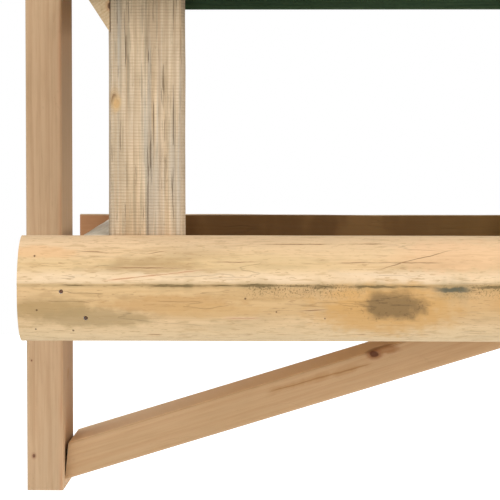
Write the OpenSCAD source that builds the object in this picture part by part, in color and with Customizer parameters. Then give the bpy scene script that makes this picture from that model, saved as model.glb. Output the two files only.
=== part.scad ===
// Wall-mounted bird feeder: a half-log tray under a gable roof, on a braced wall plank.
// Millimetres. The origin is on the wall face, midway between the two wall screw holes.
// +X points away from the wall, +Y to the right as seen from the front, +Z up.

/* [Wall plank] */
// Thickness of the wall plank
plank_t = 29; // [24:1:34]
// Width of the wall plank
plank_w = 96; // [90:1:110]
// Distance between the two wall screw holes
screw_spacing = 500; // [460:5:520]
// Length of the plank above the upper wall screw hole
plank_head = 30; // [20:5:60]
// Length of the plank below the lower wall screw hole
plank_tail = 90; // [80:5:110]
// Bore of a wall screw hole
wall_hole_d = 6; // [5:0.5:8]
// Width of the countersink of a wall screw hole
wall_sink_d = 11; // [9:0.5:14]
// Rounding of the long edges of the planed boards
arris_r = 2; // [1:0.5:4]

/* [Tray rails] */
// Depth of the tray, from the wall rail to the front rail
tray_depth = 380; // [360:5:420]
// Width of the tray, between the two side rails
tray_width = 350; // [320:5:400]
// Depth of the rails' log axis below the origin
rail_drop = 167; // [160:1:172]
// Diameter of the log that the rails are sawn from
rail_d = 80; // [76:1:88]
// Thickness of a rail, from its flat side to its round side
rail_t = 47; // [43:1:50]
// Depth of the flat seat cut in the wall rail for the plank
plank_seat = 1; // [0.5:0.5:3]
// Gap between the wall and the end of the left rail
left_rail_gap = 11; // [4:1:26]
// Gap between the wall and the end of the right rail
right_rail_gap = 24; // [4:1:26]
// Length of a side rail in front of the front rail's round side
rail_nose = 17; // [5:1:40]

/* [Floor] */
// Depth of the floor's top below the top of the rails
floor_depth = 43; // [38:1:45]
// Thickness of the floor boards
floor_t = 15; // [12:1:17]
// Drainage gap between two floor boards
floor_gap = 3; // [1:0.5:6]
// Play between the floor and the rails around it
floor_play = 1; // [0.5:0.5:3]
// Width of a ledger, the strip that carries the floor
ledger_w = 22; // [20:1:30]
// Height of a ledger
ledger_h = 20; // [18:1:22]

/* [Posts] */
// Diameter of the log that the posts are sawn from
post_d = 59; // [54:1:64]
// Thickness of a post, from its flat side to its round side
post_t = 42; // [38:1:46]
// Height of a post's outer edge above the floor
post_h = 248; // [230:2:260]

/* [Roof] */
// Pitch of the roof in degrees
roof_pitch = 30; // [24:1:34]
// Thickness of the gable boards
gable_t = 15; // [12:1:20]
// Depth of the gable's lower edge below the top of a post's outer edge
gable_drop = 26; // [22:1:34]
// Length of a gable past the tray at each end
gable_over = 27.5; // [10:0.5:30]
// Height of the lower board of a gable
gable_board_h = 70; // [60:1:80]
// Thickness of the roof boards
roof_t = 15; // [12:1:20]
// Level distance from the tray's inner edge out to the eave
eave_over = 33.5; // [28:0.5:36]
// Length of the roof past the gable boards
verge_over = 45; // [20:1:60]
// Overlap of two neighbouring roof boards
roof_lap = 10; // [6:1:14]
// Open joint between the edges of two roof boards
roof_joint = 0.5; // [0.5:0.5:2]
// Width of an eave batten
eave_batten_w = 23; // [18:1:26]
// Height of an eave batten at its inner side
eave_batten_h = 52; // [40:1:56]
// Width of the ridge batten
ridge_batten_w = 34; // [28:1:44]
// Height of the ridge batten below the peak
ridge_batten_h = 36; // [32:1:50]
// Width of a ridge cap board, down the slope
cap_w = 55; // [50:1:70]
// Thickness of a ridge cap board
cap_t = 12; // [10:1:16]

/* [Brace] */
// Thickness of the brace
brace_t = 28; // [24:1:32]
// Width of the brace
brace_w = 96; // [86:1:100]
// Distance that the brace sits to the right of the plank's middle line
brace_shift = 17; // [0:1:20]
// Height of the brace's heel above the plank's foot
brace_heel = 6.5; // [3:0.5:20]
// Angle by which the brace's foot cut leans off the plank in degrees
brace_lean = 5.6; // [0:0.2:8]
// Width of the cleat that the brace's head bears on
cleat_w = 58; // [50:1:62]
// Gap between the cleat and the front rail
cleat_gap = 43.5; // [42:0.5:60]

/* [Fasteners] */
// Shank diameter of a screw
screw_d = 4; // [3.5:0.5:5]
// Head diameter of a screw
screw_head_d = 8; // [7:0.5:9]
// Shank diameter of a nail
nail_d = 2.8; // [2.5:0.1:3.4]
// Head diameter of a nail
nail_head_d = 4.5; // [4:0.5:6]
// Depth that a nail's head is punched below the wood
nail_punch = 0.6; // [0.2:0.2:1.5]
// Gap around each fastener in its hole
hole_play = 0.15; // [0.1:0.05:0.3]
// Length of the screws that hold the wall rail and the brace to the plank
plank_screw_l = 66; // [60:1:75]
// Length of the screws that hold the posts to the rails
post_screw_l = 60; // [55:1:68]
// Length of the screws that hold the gables to the posts
gable_screw_l = 45; // [40:1:50]
// Length of the screws in the ledgers, the cleat and the brace's head
floor_screw_l = 40; // [35:1:45]
// Length of the nails in the rail corners
corner_nail_l = 85; // [75:1:95]
// Length of the nails in the ends of the ridge batten
ridge_nail_l = 45; // [40:1:60]
// Length of the nails that hold the roof boards down
roof_nail_l = 35; // [30:1:38]
// Length of the nails in the floor and the ridge cap
board_nail_l = 23; // [20:1:24]

/* [Hidden] */

$fn = 72;
// Side of a cutting block, larger than the whole feeder
far = 1500;
LEFT = -1;
RIGHT = 1;
WALL = -1;
FRONT = 1;

// Wall plank: its two ends, over and under the origin
plank_top = screw_spacing / 2 + plank_head;
plank_foot = screw_spacing / 2 + plank_tail;

// Rails
rail_r = rail_d / 2;
rail_core = rail_t - rail_r;
rail_axis_z = -rail_drop;
tray_back = plank_t + rail_t - plank_seat;
tray_front = tray_back + tray_depth;
tray_side = tray_width / 2;
left_rail_l = tray_front + rail_t + rail_nose - left_rail_gap;
right_rail_l = tray_front + rail_t + rail_nose - right_rail_gap;

// Floor
floor_boards = 5;
floor_top = rail_axis_z + rail_r - floor_depth;
floor_under = floor_top - floor_t;
ledger_under = floor_under - ledger_h;
floor_board_w = (tray_depth - 2 * floor_play - (floor_boards - 1) * floor_gap) / floor_boards;

// Posts: each stands at a corner of the tray, turned a quarter from the one before
post_core = post_t - post_d / 2;
post_corners = [
    [tray_back, -tray_side], [tray_front, -tray_side],
    [tray_front, tray_side], [tray_back, tray_side]
];

// Roof: eave_z is the height of its underside over the tray's inner edges
ridge_x = tray_back + tray_depth / 2;
eave_z = floor_top + post_h;
ridge_z = eave_z + tray_depth / 2 * tan(roof_pitch);
gable_z = eave_z - gable_drop;
gable_face = tray_side + gable_t;
gable_half = tray_depth / 2 + gable_over;
roof_l = 2 * (gable_face + verge_over);
roof_boards = 3;
roof_board_w = (tray_depth / 2 + eave_over) / cos(roof_pitch) / roof_boards;

// Brace: its heel touches the plank, and its upper face meets the near edge of the cleat
heel_z = brace_heel - plank_foot;
cleat_x = tray_front - cleat_gap - cleat_w;
brace_run = cleat_x - plank_t;
brace_lift = ledger_under - heel_z;
brace_angle = acos(brace_t / norm([brace_run, brace_lift])) - atan2(brace_run, brace_lift);
brace_rise = brace_t / cos(brace_angle);
toe_lift = brace_rise / (1 - tan(brace_lean) * tan(brace_angle));

// Fasteners
screw_cone_h = (screw_head_d - screw_d) / 2;
screw_tip_l = 2 * screw_d;
screw_sink = 0.4;
nail_head_h = 1.2;
nail_tip_l = 1.5 * nail_d;
bore_reach = 30;
plank_screw_y = plank_w / 4;
brace_foot_left = brace_shift - brace_w / 2;
brace_foot_w = plank_w / 2 - brace_foot_left;
brace_screw_z = heel_z + 0.7 * brace_rise;
rail_nail_spots = [[0.6, 0], [0.15, -0.5]];
post_screw_drop = 8;
post_screw_low = 12;
post_screw_high = 31;
ledger_screw_inset = 35;
floor_screw_h = 5.5;
cleat_screw_gap = 30;
brace_head_gap = 50;
brace_head_drop = 12;
brace_head_screw_l = floor_screw_l - brace_head_drop;
gable_screw_low = 10;
gable_screw_high = 25;
floor_nail_gap = 56;
roof_nail_gap = 26;
eave_nail_share = 0.65;
eave_nail_y = [for (i = [-1.5:1:1.5]) i * tray_width / 4];
cap_nail_y = [for (i = [-2:1:2]) i * tray_width / 5];
ridge_nail_drop = 20;
ridge_nail_gap = 10;

// Colours
peeled_wood = [0.88, 0.76, 0.58];
sawn_wood = [0.80, 0.67, 0.50];
planed_wood = [0.80, 0.65, 0.50];
strip_wood = [0.82, 0.69, 0.52];
green_paint = [0.10, 0.24, 0.15];
steel = [0.62, 0.62, 0.60];
rusty_steel = [0.25, 0.19, 0.14];

// Round-edged rectangle, centred on Y, with its lower side on the X axis
module soft_rect(w, t, r) {
    translate([-w / 2 + r, 0]) square([w - 2 * r, t]);
    translate([-w / 2, r]) square([w, t - 2 * r]);
    for (x = [-w / 2 + r, w / 2 - r], y = [r, t - r])
        translate([x, y]) circle(r = r, $fn = 32);
}

// Half log that stands on Z = 0, flat side on Y = 0 and round side towards -Y
module half_log(d, t, l) {
    linear_extrude(l) intersection() {
        translate([0, d / 2 - t]) circle(d = d);
        translate([-d, -2 * d]) square([2 * d, 2 * d]);
    }
}

// Rail along +X from the origin, flat side on Y = 0 and round side towards -Y
module rail_log(l) {
    rotate([0, 90, 0]) half_log(rail_d, rail_t, l);
}

// Slab with an outline drawn in X and Z, from one Y to another
module slab(from_y, to_y) {
    translate([0, to_y, 0]) rotate([90, 0, 0]) linear_extrude(to_y - from_y) children();
}

// Puts an outline, drawn from the peak outward to +X, on one side of the roof
module roof_slab(side, from_y, to_y) {
    translate([ridge_x, 0, ridge_z]) mirror([side == WALL ? 1 : 0, 0, 0])
        slab(from_y, to_y) children();
}

// Outline of a board that lies on a slope: s runs down the slope, n is its height over it
module sloped(points) {
    intersection() {
        rotate(-roof_pitch) polygon(points);
        translate([0, -far]) square([far, 2 * far]);
    }
}

// Countersunk screw, head on top at Z = 0, pointing down
module screw(l) {
    color(steel) rotate_extrude($fn = 32) polygon([
        [0, 0], [screw_head_d / 2, 0], [screw_head_d / 2, -screw_sink],
        [screw_d / 2, -screw_sink - screw_cone_h], [screw_d / 2, screw_tip_l - l], [0, -l]
    ]);
}

// Hole for a screw, with its countersink open to above
module screw_bore(l) {
    depth = screw_sink + screw_cone_h;
    translate([0, 0, -l - hole_play]) cylinder(d = screw_d + 2 * hole_play, h = l, $fn = 32);
    translate([0, 0, -depth - hole_play])
        cylinder(d1 = screw_d, d2 = screw_head_d + 4 * hole_play, h = depth, $fn = 32);
    translate([0, 0, -screw_sink])
        cylinder(d = screw_head_d + 4 * hole_play, h = screw_sink + bore_reach, $fn = 32);
}

// Lost-head nail, head on top at Z = 0, pointing down
module nail(l) {
    color(rusty_steel) rotate_extrude($fn = 24) polygon([
        [0, 0], [nail_head_d / 2, 0], [nail_head_d / 2, -nail_head_h],
        [nail_d / 2, -nail_head_h], [nail_d / 2, nail_tip_l - l], [0, -l]
    ]);
}

// Hole for a nail, with the punched pocket of its head open to above
module nail_bore(l) {
    translate([0, 0, -l - hole_play]) cylinder(d = nail_d + 2 * hole_play, h = l, $fn = 24);
    translate([0, 0, -nail_head_h - hole_play])
        cylinder(d = nail_head_d + 2 * hole_play, h = nail_head_h + bore_reach / 6, $fn = 24);
}

// Places of the two wall screw holes, driven towards the wall from the plank's face
module at_wall_holes() {
    for (side = [-1, 1])
        translate([plank_t, 0, side * screw_spacing / 2]) rotate([0, 90, 0]) children();
}

// Places of the four screws driven from the wall side of the plank
module at_plank_screws() {
    for (side = [LEFT, RIGHT])
        translate([screw_sink, side * plank_screw_y, rail_axis_z])
            rotate([0, -90, 0]) children();
    for (share = [0.25, 0.75])
        translate([screw_sink, brace_foot_left + share * brace_foot_w, brace_screw_z])
            rotate([0, -90, 0]) children();
}

// Places of the nails that hold the side rails to the ends of the wall and front rails
module at_corner_nails() {
    for (side = [LEFT, RIGHT], end = [WALL, FRONT], spot = rail_nail_spots) {
        end_x = end == WALL ? tray_back : tray_front;
        x = end_x + end * (rail_core + spot[0] * rail_r);
        skin = rail_core + sqrt(pow(rail_r, 2) - pow(spot[1] * rail_r, 2));
        translate([x, side * (tray_side + skin - nail_punch), rail_axis_z + spot[1] * rail_r])
            rotate([-90 * side, 0, 0]) children();
    }
}

// Places of the screws that hold the ledgers to the side rails
module at_ledger_screws() {
    for (side = [LEFT, RIGHT])
        for (x = [tray_back + ledger_screw_inset, ridge_x, tray_front - ledger_screw_inset])
            translate([x, side * (tray_side - ledger_w + screw_sink), ledger_under + floor_screw_h])
                rotate([90 * side, 0, 0]) children();
}

// Places of the screws driven through the ledgers into the ends of the cleat
module at_cleat_screws() {
    for (side = [LEFT, RIGHT], half = [-0.5, 0.5])
        translate([
            cleat_x + cleat_w / 2 + half * cleat_screw_gap,
            side * (tray_side - screw_sink),
            ledger_under + floor_screw_h
        ]) rotate([-90 * side, 0, 0]) children();
}

// Places of the screws driven up through the brace's head into the cleat
module at_brace_head_screws() {
    for (half = [-0.5, 0.5])
        translate([
            cleat_x + cleat_w / 2, brace_shift + half * brace_head_gap,
            ledger_under - brace_head_drop
        ]) rotate([180, 0, 0]) children();
}

// Puts a child drawn for the first post at each post's corner, turned to suit
module at_post(i) {
    translate([post_corners[i][0], post_corners[i][1], floor_top]) rotate(90 * i) children();
}

// Places of the screws that hold the posts to the rails' flat sides
module at_post_screws() {
    for (i = [0:3], z = [post_screw_low, post_screw_high])
        at_post(i) translate([post_d / 2, post_t - post_screw_drop, z])
            rotate([-90, 0, 0]) children();
}

// Places of the nails that hold the floor boards to the ledgers
module at_floor_nails() {
    for (i = [1:floor_boards], half = [-0.5, 0.5], side = [LEFT, RIGHT])
        translate([
            floor_board_x(i) + floor_board_w / 2 + half * floor_nail_gap,
            side * (tray_side - ledger_w / 2),
            floor_top - nail_punch
        ]) children();
}

// Places of the screws that hold the gables to the posts
module at_gable_screws() {
    for (side = [LEFT, RIGHT], z = [gable_screw_low, gable_screw_high]) {
        flat_post = side == LEFT ? tray_back + post_d / 2 : tray_front - post_d / 2;
        edge_post = side == LEFT ? tray_front - post_core : tray_back + post_core;
        for (x = [flat_post, edge_post])
            translate([x, side * (gable_face - screw_sink), gable_z + z])
                rotate([-90 * side, 0, 0]) children();
    }
}

// Places of the nails that hold the ridge batten between the gables
module at_ridge_nails() {
    for (side = [LEFT, RIGHT], half = [-0.5, 0.5])
        translate([
            ridge_x + half * ridge_nail_gap,
            side * (gable_face - nail_punch),
            ridge_z - ridge_nail_drop
        ]) rotate([-90 * side, 0, 0]) children();
}

// Puts a nail square to one slope: s is its distance down the slope, n its height over it
module at_slope(side, s, y, n) {
    translate([ridge_x, y, ridge_z]) mirror([side == WALL ? 1 : 0, 0, 0])
        rotate([0, roof_pitch, 0]) translate([s, 0, n - nail_punch]) children();
}

// Places of the nails of one slope, in the gables and in the eave batten
module at_roof_nails(side) {
    for (k = [1:roof_boards], half = [-0.5, 0.5], end = [LEFT, RIGHT])
        at_slope(side, (k - 0.5) * roof_board_w + half * roof_nail_gap,
            end * (tray_side + gable_t / 2), roof_t) children();
    for (y = eave_nail_y)
        at_slope(side, (tray_depth / 2 + eave_nail_share * eave_batten_w) / cos(roof_pitch),
            y, roof_t) children();
}

// Places of the nails of the ridge cap on one slope
module at_cap_nails(side) {
    for (y = cap_nail_y) at_slope(side, 0.6 * cap_w, y, roof_t + cap_t) children();
}

// Space under the roof boards
module under_roof() {
    fall = far * tan(roof_pitch);
    slab(-far, far) translate([ridge_x, ridge_z])
        polygon([[0, 0], [far, -fall], [far, -far - fall], [-far, -far - fall], [-far, -fall]]);
}

// Plank that hangs on the wall and carries the tray and the brace
module back_plank() {
    color(planed_wood) difference() {
        translate([0, 0, -plank_foot])
            rotate(-90) linear_extrude(plank_top + plank_foot)
                soft_rect(plank_w, plank_t, arris_r);
        at_wall_holes() {
            translate([0, 0, -2 * plank_t]) cylinder(d = wall_hole_d, h = 3 * plank_t);
            translate([0, 0, -(wall_sink_d - wall_hole_d) / 2])
                cylinder(d1 = wall_hole_d, d2 = wall_sink_d, h = (wall_sink_d - wall_hole_d) / 2);
        }
        at_plank_screws() screw_bore(plank_screw_l);
    }
}

// Sloping plank from the foot of the wall plank to the underside of the tray
module brace() {
    head_x = cleat_x + cleat_w;
    color(planed_wood) difference() {
        intersection() {
            translate([plank_t, brace_shift, heel_z]) rotate([0, -brace_angle, 0])
                translate([-far / 2, 0, 0]) rotate([90, 0, 90])
                    linear_extrude(far) soft_rect(brace_w, brace_t, arris_r);
            slab(brace_shift - brace_w, brace_shift + brace_w) polygon([
                [plank_t, heel_z],
                [head_x, heel_z + (head_x - plank_t) * tan(brace_angle)],
                [head_x, ledger_under],
                [cleat_x, ledger_under],
                [plank_t + toe_lift * tan(brace_lean), heel_z + toe_lift]
            ]);
        }
        at_plank_screws() screw_bore(plank_screw_l);
        at_brace_head_screws() screw_bore(brace_head_screw_l);
    }
}

// Cross strip between the ledgers, over the brace's head
module brace_cleat() {
    half_l = tray_side - ledger_w;
    color(strip_wood) difference() {
        translate([cleat_x, -half_l, ledger_under]) cube([cleat_w, 2 * half_l, ledger_h]);
        at_cleat_screws() screw_bore(floor_screw_l);
        at_brace_head_screws() screw_bore(brace_head_screw_l);
    }
}

// Half-log rail along one side of the tray
module side_rail(side, gap, l) {
    color(peeled_wood) difference() {
        mirror([0, side == RIGHT ? 1 : 0, 0])
            translate([gap, -tray_side, rail_axis_z]) rail_log(l);
        at_corner_nails() nail_bore(corner_nail_l);
        at_ledger_screws() screw_bore(floor_screw_l);
        at_post_screws() screw_bore(post_screw_l);
    }
}

module left_rail() {
    side_rail(LEFT, left_rail_gap, left_rail_l);
}

module right_rail() {
    side_rail(RIGHT, right_rail_gap, right_rail_l);
}

// Half-log rail against the plank, with a shallow flat seat for it
module wall_rail() {
    color(peeled_wood) difference() {
        translate([tray_back, tray_side, rail_axis_z]) rotate(-90) rail_log(tray_width);
        translate([plank_t - far, -plank_w / 2, -far]) cube([far, plank_w, far]);
        at_plank_screws() screw_bore(plank_screw_l);
        at_corner_nails() nail_bore(corner_nail_l);
        at_post_screws() screw_bore(post_screw_l);
    }
}

// Half-log rail at the front of the tray
module front_rail() {
    color(peeled_wood) difference() {
        translate([tray_front, -tray_side, rail_axis_z]) rotate(90) rail_log(tray_width);
        at_corner_nails() nail_bore(corner_nail_l);
        at_post_screws() screw_bore(post_screw_l);
    }
}

// Strip on the inside of a side rail that carries the floor boards
module ledger(side) {
    y = side == LEFT ? -tray_side : tray_side - ledger_w;
    color(strip_wood) difference() {
        translate([tray_back, y, ledger_under]) cube([tray_depth, ledger_w, ledger_h]);
        at_ledger_screws() screw_bore(floor_screw_l);
        at_cleat_screws() screw_bore(floor_screw_l);
        at_floor_nails() nail_bore(board_nail_l);
    }
}

// Near edge of a floor board, counted from the wall
function floor_board_x(i) = tray_back + floor_play + (i - 1) * (floor_board_w + floor_gap);

// Board across the tray, from ledger to ledger
module floor_board(i) {
    half_l = tray_side - floor_play;
    color(strip_wood) difference() {
        translate([floor_board_x(i), -half_l, floor_under])
            cube([floor_board_w, 2 * half_l, floor_t]);
        at_floor_nails() nail_bore(board_nail_l);
    }
}

// Half-log corner post, its top cut to the roof's slope
module post(i) {
    color(sawn_wood) difference() {
        intersection() {
            at_post(i) translate([post_d / 2, 0, 0]) rotate(180)
                half_log(post_d, post_t, ridge_z - floor_top);
            under_roof();
        }
        at_post_screws() screw_bore(post_screw_l);
        at_gable_screws() screw_bore(gable_screw_l);
    }
}

// Three-cornered batten under the edge of the roof
module eave_batten(side) {
    inner = tray_depth / 2;
    color(strip_wood) difference() {
        roof_slab(side, -tray_side, tray_side) polygon([
            [inner, eave_z - ridge_z], [inner, eave_z - ridge_z - eave_batten_h],
            [inner + eave_batten_w, -(inner + eave_batten_w) * tan(roof_pitch)]
        ]);
        at_roof_nails(side) nail_bore(roof_nail_l);
    }
}

// Batten under the peak, between the gables
module ridge_batten() {
    half_w = ridge_batten_w / 2;
    color(strip_wood) difference() {
        translate([ridge_x, 0, ridge_z]) slab(-tray_side, tray_side) polygon([
            [0, 0], [half_w, -half_w * tan(roof_pitch)], [half_w, -ridge_batten_h],
            [-half_w, -ridge_batten_h], [-half_w, -half_w * tan(roof_pitch)]
        ]);
        at_ridge_nails() nail_bore(ridge_nail_l);
    }
}

// Board of a gable, between two heights over the gable's lower edge
module gable_board(side, low, high) {
    from_y = side == LEFT ? -gable_face : tray_side;
    color(green_paint) difference() {
        intersection() {
            translate([ridge_x - gable_half, from_y, gable_z + low])
                cube([2 * gable_half, gable_t, high - low]);
            under_roof();
        }
        at_gable_screws() screw_bore(gable_screw_l);
        at_ridge_nails() nail_bore(ridge_nail_l);
        at_roof_nails(WALL) nail_bore(roof_nail_l);
        at_roof_nails(FRONT) nail_bore(roof_nail_l);
    }
}

// Roof board along the feeder's width, half-lapped with its neighbours, counted from the peak
module roof_board(side, k) {
    top_s = (k - 1) * roof_board_w;
    low_s = k * roof_board_w;
    first = k == 1;
    last = k == roof_boards;
    under_start = first ? -roof_t : top_s - roof_lap;
    over_start = first ? -roof_t : top_s + roof_joint;
    under_end = last ? low_s : low_s - roof_lap - roof_joint;
    color(green_paint) difference() {
        roof_slab(side, -roof_l / 2, roof_l / 2) sloped([
            [under_start, 0], [under_end, 0], [under_end, roof_t / 2], [low_s, roof_t / 2],
            [low_s, roof_t], [over_start, roof_t], [over_start, roof_t / 2],
            [under_start, roof_t / 2]
        ]);
        at_roof_nails(side) nail_bore(roof_nail_l);
        at_cap_nails(side) nail_bore(board_nail_l);
    }
}

// Board that covers the peak on one side
module ridge_cap(side) {
    color(green_paint) difference() {
        roof_slab(side, -roof_l / 2, roof_l / 2) sloped([
            [-roof_t - cap_t, roof_t], [cap_w, roof_t],
            [cap_w, roof_t + cap_t], [-roof_t - cap_t, roof_t + cap_t]
        ]);
        at_cap_nails(side) nail_bore(board_nail_l);
    }
}

back_plank();
brace();
brace_cleat();
left_rail();
right_rail();
wall_rail();
front_rail();
ledger(LEFT);  // left_ledger
ledger(RIGHT);  // right_ledger
floor_board(1);  // floor_board_1
floor_board(2);  // floor_board_2
floor_board(3);  // floor_board_3
floor_board(4);  // floor_board_4
floor_board(5);  // floor_board_5
post(0);  // post_left_wall
post(1);  // post_left_front
post(2);  // post_right_front
post(3);  // post_right_wall
eave_batten(WALL);  // eave_batten_wall
eave_batten(FRONT);  // eave_batten_front
ridge_batten();
gable_board(LEFT, 0, gable_board_h);  // left_gable_lower
gable_board(LEFT, gable_board_h, far);  // left_gable_upper
gable_board(RIGHT, 0, gable_board_h);  // right_gable_lower
gable_board(RIGHT, gable_board_h, far);  // right_gable_upper
roof_board(WALL, 1);  // roof_board_wall_1
roof_board(WALL, 2);  // roof_board_wall_2
roof_board(WALL, 3);  // roof_board_wall_3
roof_board(FRONT, 1);  // roof_board_front_1
roof_board(FRONT, 2);  // roof_board_front_2
roof_board(FRONT, 3);  // roof_board_front_3
ridge_cap(WALL);  // ridge_cap_wall
ridge_cap(FRONT);  // ridge_cap_front
at_plank_screws() screw(plank_screw_l);  // plank_screws
at_corner_nails() nail(corner_nail_l);  // corner_nails
at_ledger_screws() screw(floor_screw_l);  // ledger_screws
at_cleat_screws() screw(floor_screw_l);  // cleat_screws
at_brace_head_screws() screw(brace_head_screw_l);  // brace_head_screws
at_post_screws() screw(post_screw_l);  // post_screws
at_floor_nails() nail(board_nail_l);  // floor_nails
at_gable_screws() screw(gable_screw_l);  // gable_screws
at_ridge_nails() nail(ridge_nail_l);  // ridge_nails
at_roof_nails(WALL) nail(roof_nail_l);  // roof_nails_wall
at_roof_nails(FRONT) nail(roof_nail_l);  // roof_nails_front
union() {  // ridge_cap_nails
    at_cap_nails(WALL) nail(board_nail_l);
    at_cap_nails(FRONT) nail(board_nail_l);
}
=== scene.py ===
# %% [markdown]
# # A bird feeder for a wall
# A plank hangs on the wall, peeled half-logs nailed to it frame a tray of boards, and four
# half-log posts carry a small green gabled roof. A brace rises from the plank's foot to
# the tray. The CAD model gives every piece its size and place. This lesson keeps the
# boards as they are and dresses them, and makes the logs, screws and nails anew, because
# those need a finer shape than the CAD solids have.

# %% Load the frame
import math
import random
from types import SimpleNamespace

import bmesh
import bpy
from mathutils import Matrix, Vector


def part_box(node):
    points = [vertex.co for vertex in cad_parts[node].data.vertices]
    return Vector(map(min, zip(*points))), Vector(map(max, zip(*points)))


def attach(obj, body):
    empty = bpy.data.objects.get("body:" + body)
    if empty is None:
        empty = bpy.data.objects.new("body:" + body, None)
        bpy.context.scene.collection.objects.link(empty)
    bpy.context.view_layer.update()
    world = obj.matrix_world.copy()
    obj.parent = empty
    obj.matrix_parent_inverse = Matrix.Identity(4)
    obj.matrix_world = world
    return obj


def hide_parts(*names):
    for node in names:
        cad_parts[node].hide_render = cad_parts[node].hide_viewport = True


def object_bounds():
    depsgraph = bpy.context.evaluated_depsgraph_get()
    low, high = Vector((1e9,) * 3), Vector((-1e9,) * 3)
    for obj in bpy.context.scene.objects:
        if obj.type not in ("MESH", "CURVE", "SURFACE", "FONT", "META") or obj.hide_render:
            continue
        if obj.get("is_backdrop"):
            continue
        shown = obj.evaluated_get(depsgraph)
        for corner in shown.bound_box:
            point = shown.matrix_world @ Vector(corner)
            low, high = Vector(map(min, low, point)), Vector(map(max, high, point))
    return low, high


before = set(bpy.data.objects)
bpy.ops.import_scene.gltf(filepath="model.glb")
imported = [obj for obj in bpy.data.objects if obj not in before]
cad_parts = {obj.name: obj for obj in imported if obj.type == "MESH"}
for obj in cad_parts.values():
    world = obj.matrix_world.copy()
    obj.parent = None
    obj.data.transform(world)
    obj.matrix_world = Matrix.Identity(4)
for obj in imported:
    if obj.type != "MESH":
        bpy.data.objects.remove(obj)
cad_low, cad_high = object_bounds()
MM = 0.001
print("CAD box", [round(v, 4) for v in (*cad_low, *cad_high)])

# %% [markdown]
# ## The camera
# The photograph was taken from the left side, from about the height of the tray and from
# some way off, so the lens is long and the lines stay nearly parallel. A long lens far
# away, rather than a short one close by, keeps the far rail nearly as large as the near
# one, as the photograph does.

# %% Camera
def aim(thing, direction):
    """Turn a camera or a lamp so that it looks along a direction."""
    thing.rotation_euler = Vector(direction).to_track_quat("-Z", "Y").to_euler()


def linked(name, data):
    """A new object of the scene, at the origin."""
    thing = bpy.data.objects.new(name, data)
    bpy.context.collection.objects.link(thing)
    return thing


camera = linked("camera", bpy.data.cameras.new("camera"))
camera.data.lens, camera.data.sensor_width = 209.77, 36.0
camera.location = (0.2449, -2.375, -0.0127)
aim(camera, (-0.02806, 1.0, -0.05716))
bpy.context.scene.camera = camera
print("camera", tuple(round(v, 3) for v in camera.location), "lens", camera.data.lens)

# %% [markdown]
# ## Helpers for nodes
# Materials, the world and the logs' shapes are all node trees. A Value stands for a node's
# output and can be added or multiplied like a number: each sign adds one Math node, so a
# tree reads as a formula.

# %% Values and nodes
class Value:
    """A node's output, with the signs of arithmetic."""

    def __init__(self, socket):
        self.socket, self.tree = socket, socket.id_data

    def __add__(self, other):
        return calc("ADD", self, other)

    def __sub__(self, other):
        return calc("SUBTRACT", self, other)

    def __mul__(self, other):
        return calc("MULTIPLY", self, other)

    def __truediv__(self, other):
        return calc("DIVIDE", self, other)

    def plus(self, other, factor):
        """This value and another one times a factor, in a single node."""
        return calc("MULTIPLY_ADD", other, factor, self)

    def axis(self, letter):
        """One axis of a vector."""
        return node(self.tree, "ShaderNodeSeparateXYZ", {"Vector": self}, letter)


def plug(value, socket):
    """Feed an input with another node's output or with a plain value."""
    if isinstance(value, Value):
        socket.id_data.links.new(value.socket, socket)
    else:
        socket.default_value = value


def node(tree, kind, feeds=None, out=None, **settings):
    """Add a node with its settings and inputs; returns it, or the output that out names."""
    made = tree.nodes.new(kind)
    for key, value in settings.items():
        setattr(made, key, value)
    for socket, value in (feeds or {}).items():
        plug(value, made.inputs[socket])
    return made if out is None else Value(made.outputs[out])


def outputs(made):
    """All outputs of a node by name."""
    return {socket.name: Value(socket) for socket in made.outputs}


def first_of(values):
    """The first node output among some values, whose tree the next node joins."""
    return next(value for value in values if isinstance(value, Value))


def calc(operation, *values, out=0):
    """A Math node's output, or a Vector Math node's where the values are vectors."""
    first = first_of(values)
    kind = "ShaderNodeVectorMath" if first.socket.type == "VECTOR" else "ShaderNodeMath"
    return node(first.tree, kind, dict(enumerate(values)), out, operation=operation)


def combine(**parts):
    """A vector from its X, Y and Z, of which those left out are 0."""
    return node(first_of(parts.values()).tree, "ShaderNodeCombineXYZ", parts, 0)


def empty_tree(owner):
    """The cleared node tree of a material or a world."""
    owner.use_nodes = True
    owner.node_tree.nodes.clear()
    return owner.node_tree


# %% [markdown]
# ## Floor, world and lamps
# The feeder hangs in front of white. The floor lies well below it, so it keeps the
# feeder's shadow without showing it in the photograph's view. White comes from what the
# camera, mirrors and glass see (the Light Path node), never from more light on the wood.
# Large soft lamps give the diffuse daylight of the photograph: most of it from above and
# from the feeder's front, some from the camera's side, and a weak one from the far side.

# %% World
def seen_by(tree, *kinds):
    """1 for the named kinds of ray and 0 for all others."""
    rays = outputs(node(tree, "ShaderNodeLightPath"))
    seen = rays[kinds[0]]
    for kind in kinds[1:]:
        seen = calc("MAXIMUM", seen, rays[kind])
    return seen


world = bpy.data.worlds.new("white surroundings")
tree = empty_tree(world)
soft_sky, white_sky = [node(tree, "ShaderNodeBackground", {"Color": colour, "Strength": level}, 0)
                       for colour, level in (((0.95, 0.98, 1.0, 1.0), 0.80),
                                             ((1.0, 1.0, 1.0, 1.0), 1.0))]
seen = seen_by(tree, "Is Camera Ray", "Is Glossy Ray", "Is Transmission Ray")
sky = node(tree, "ShaderNodeMixShader", {0: seen, 1: soft_sky, 2: white_sky}, 0)
node(tree, "ShaderNodeOutputWorld", {"Surface": sky})
bpy.context.scene.world = world
bpy.context.scene.view_settings.view_transform = "Standard"
print("world ready")

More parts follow.
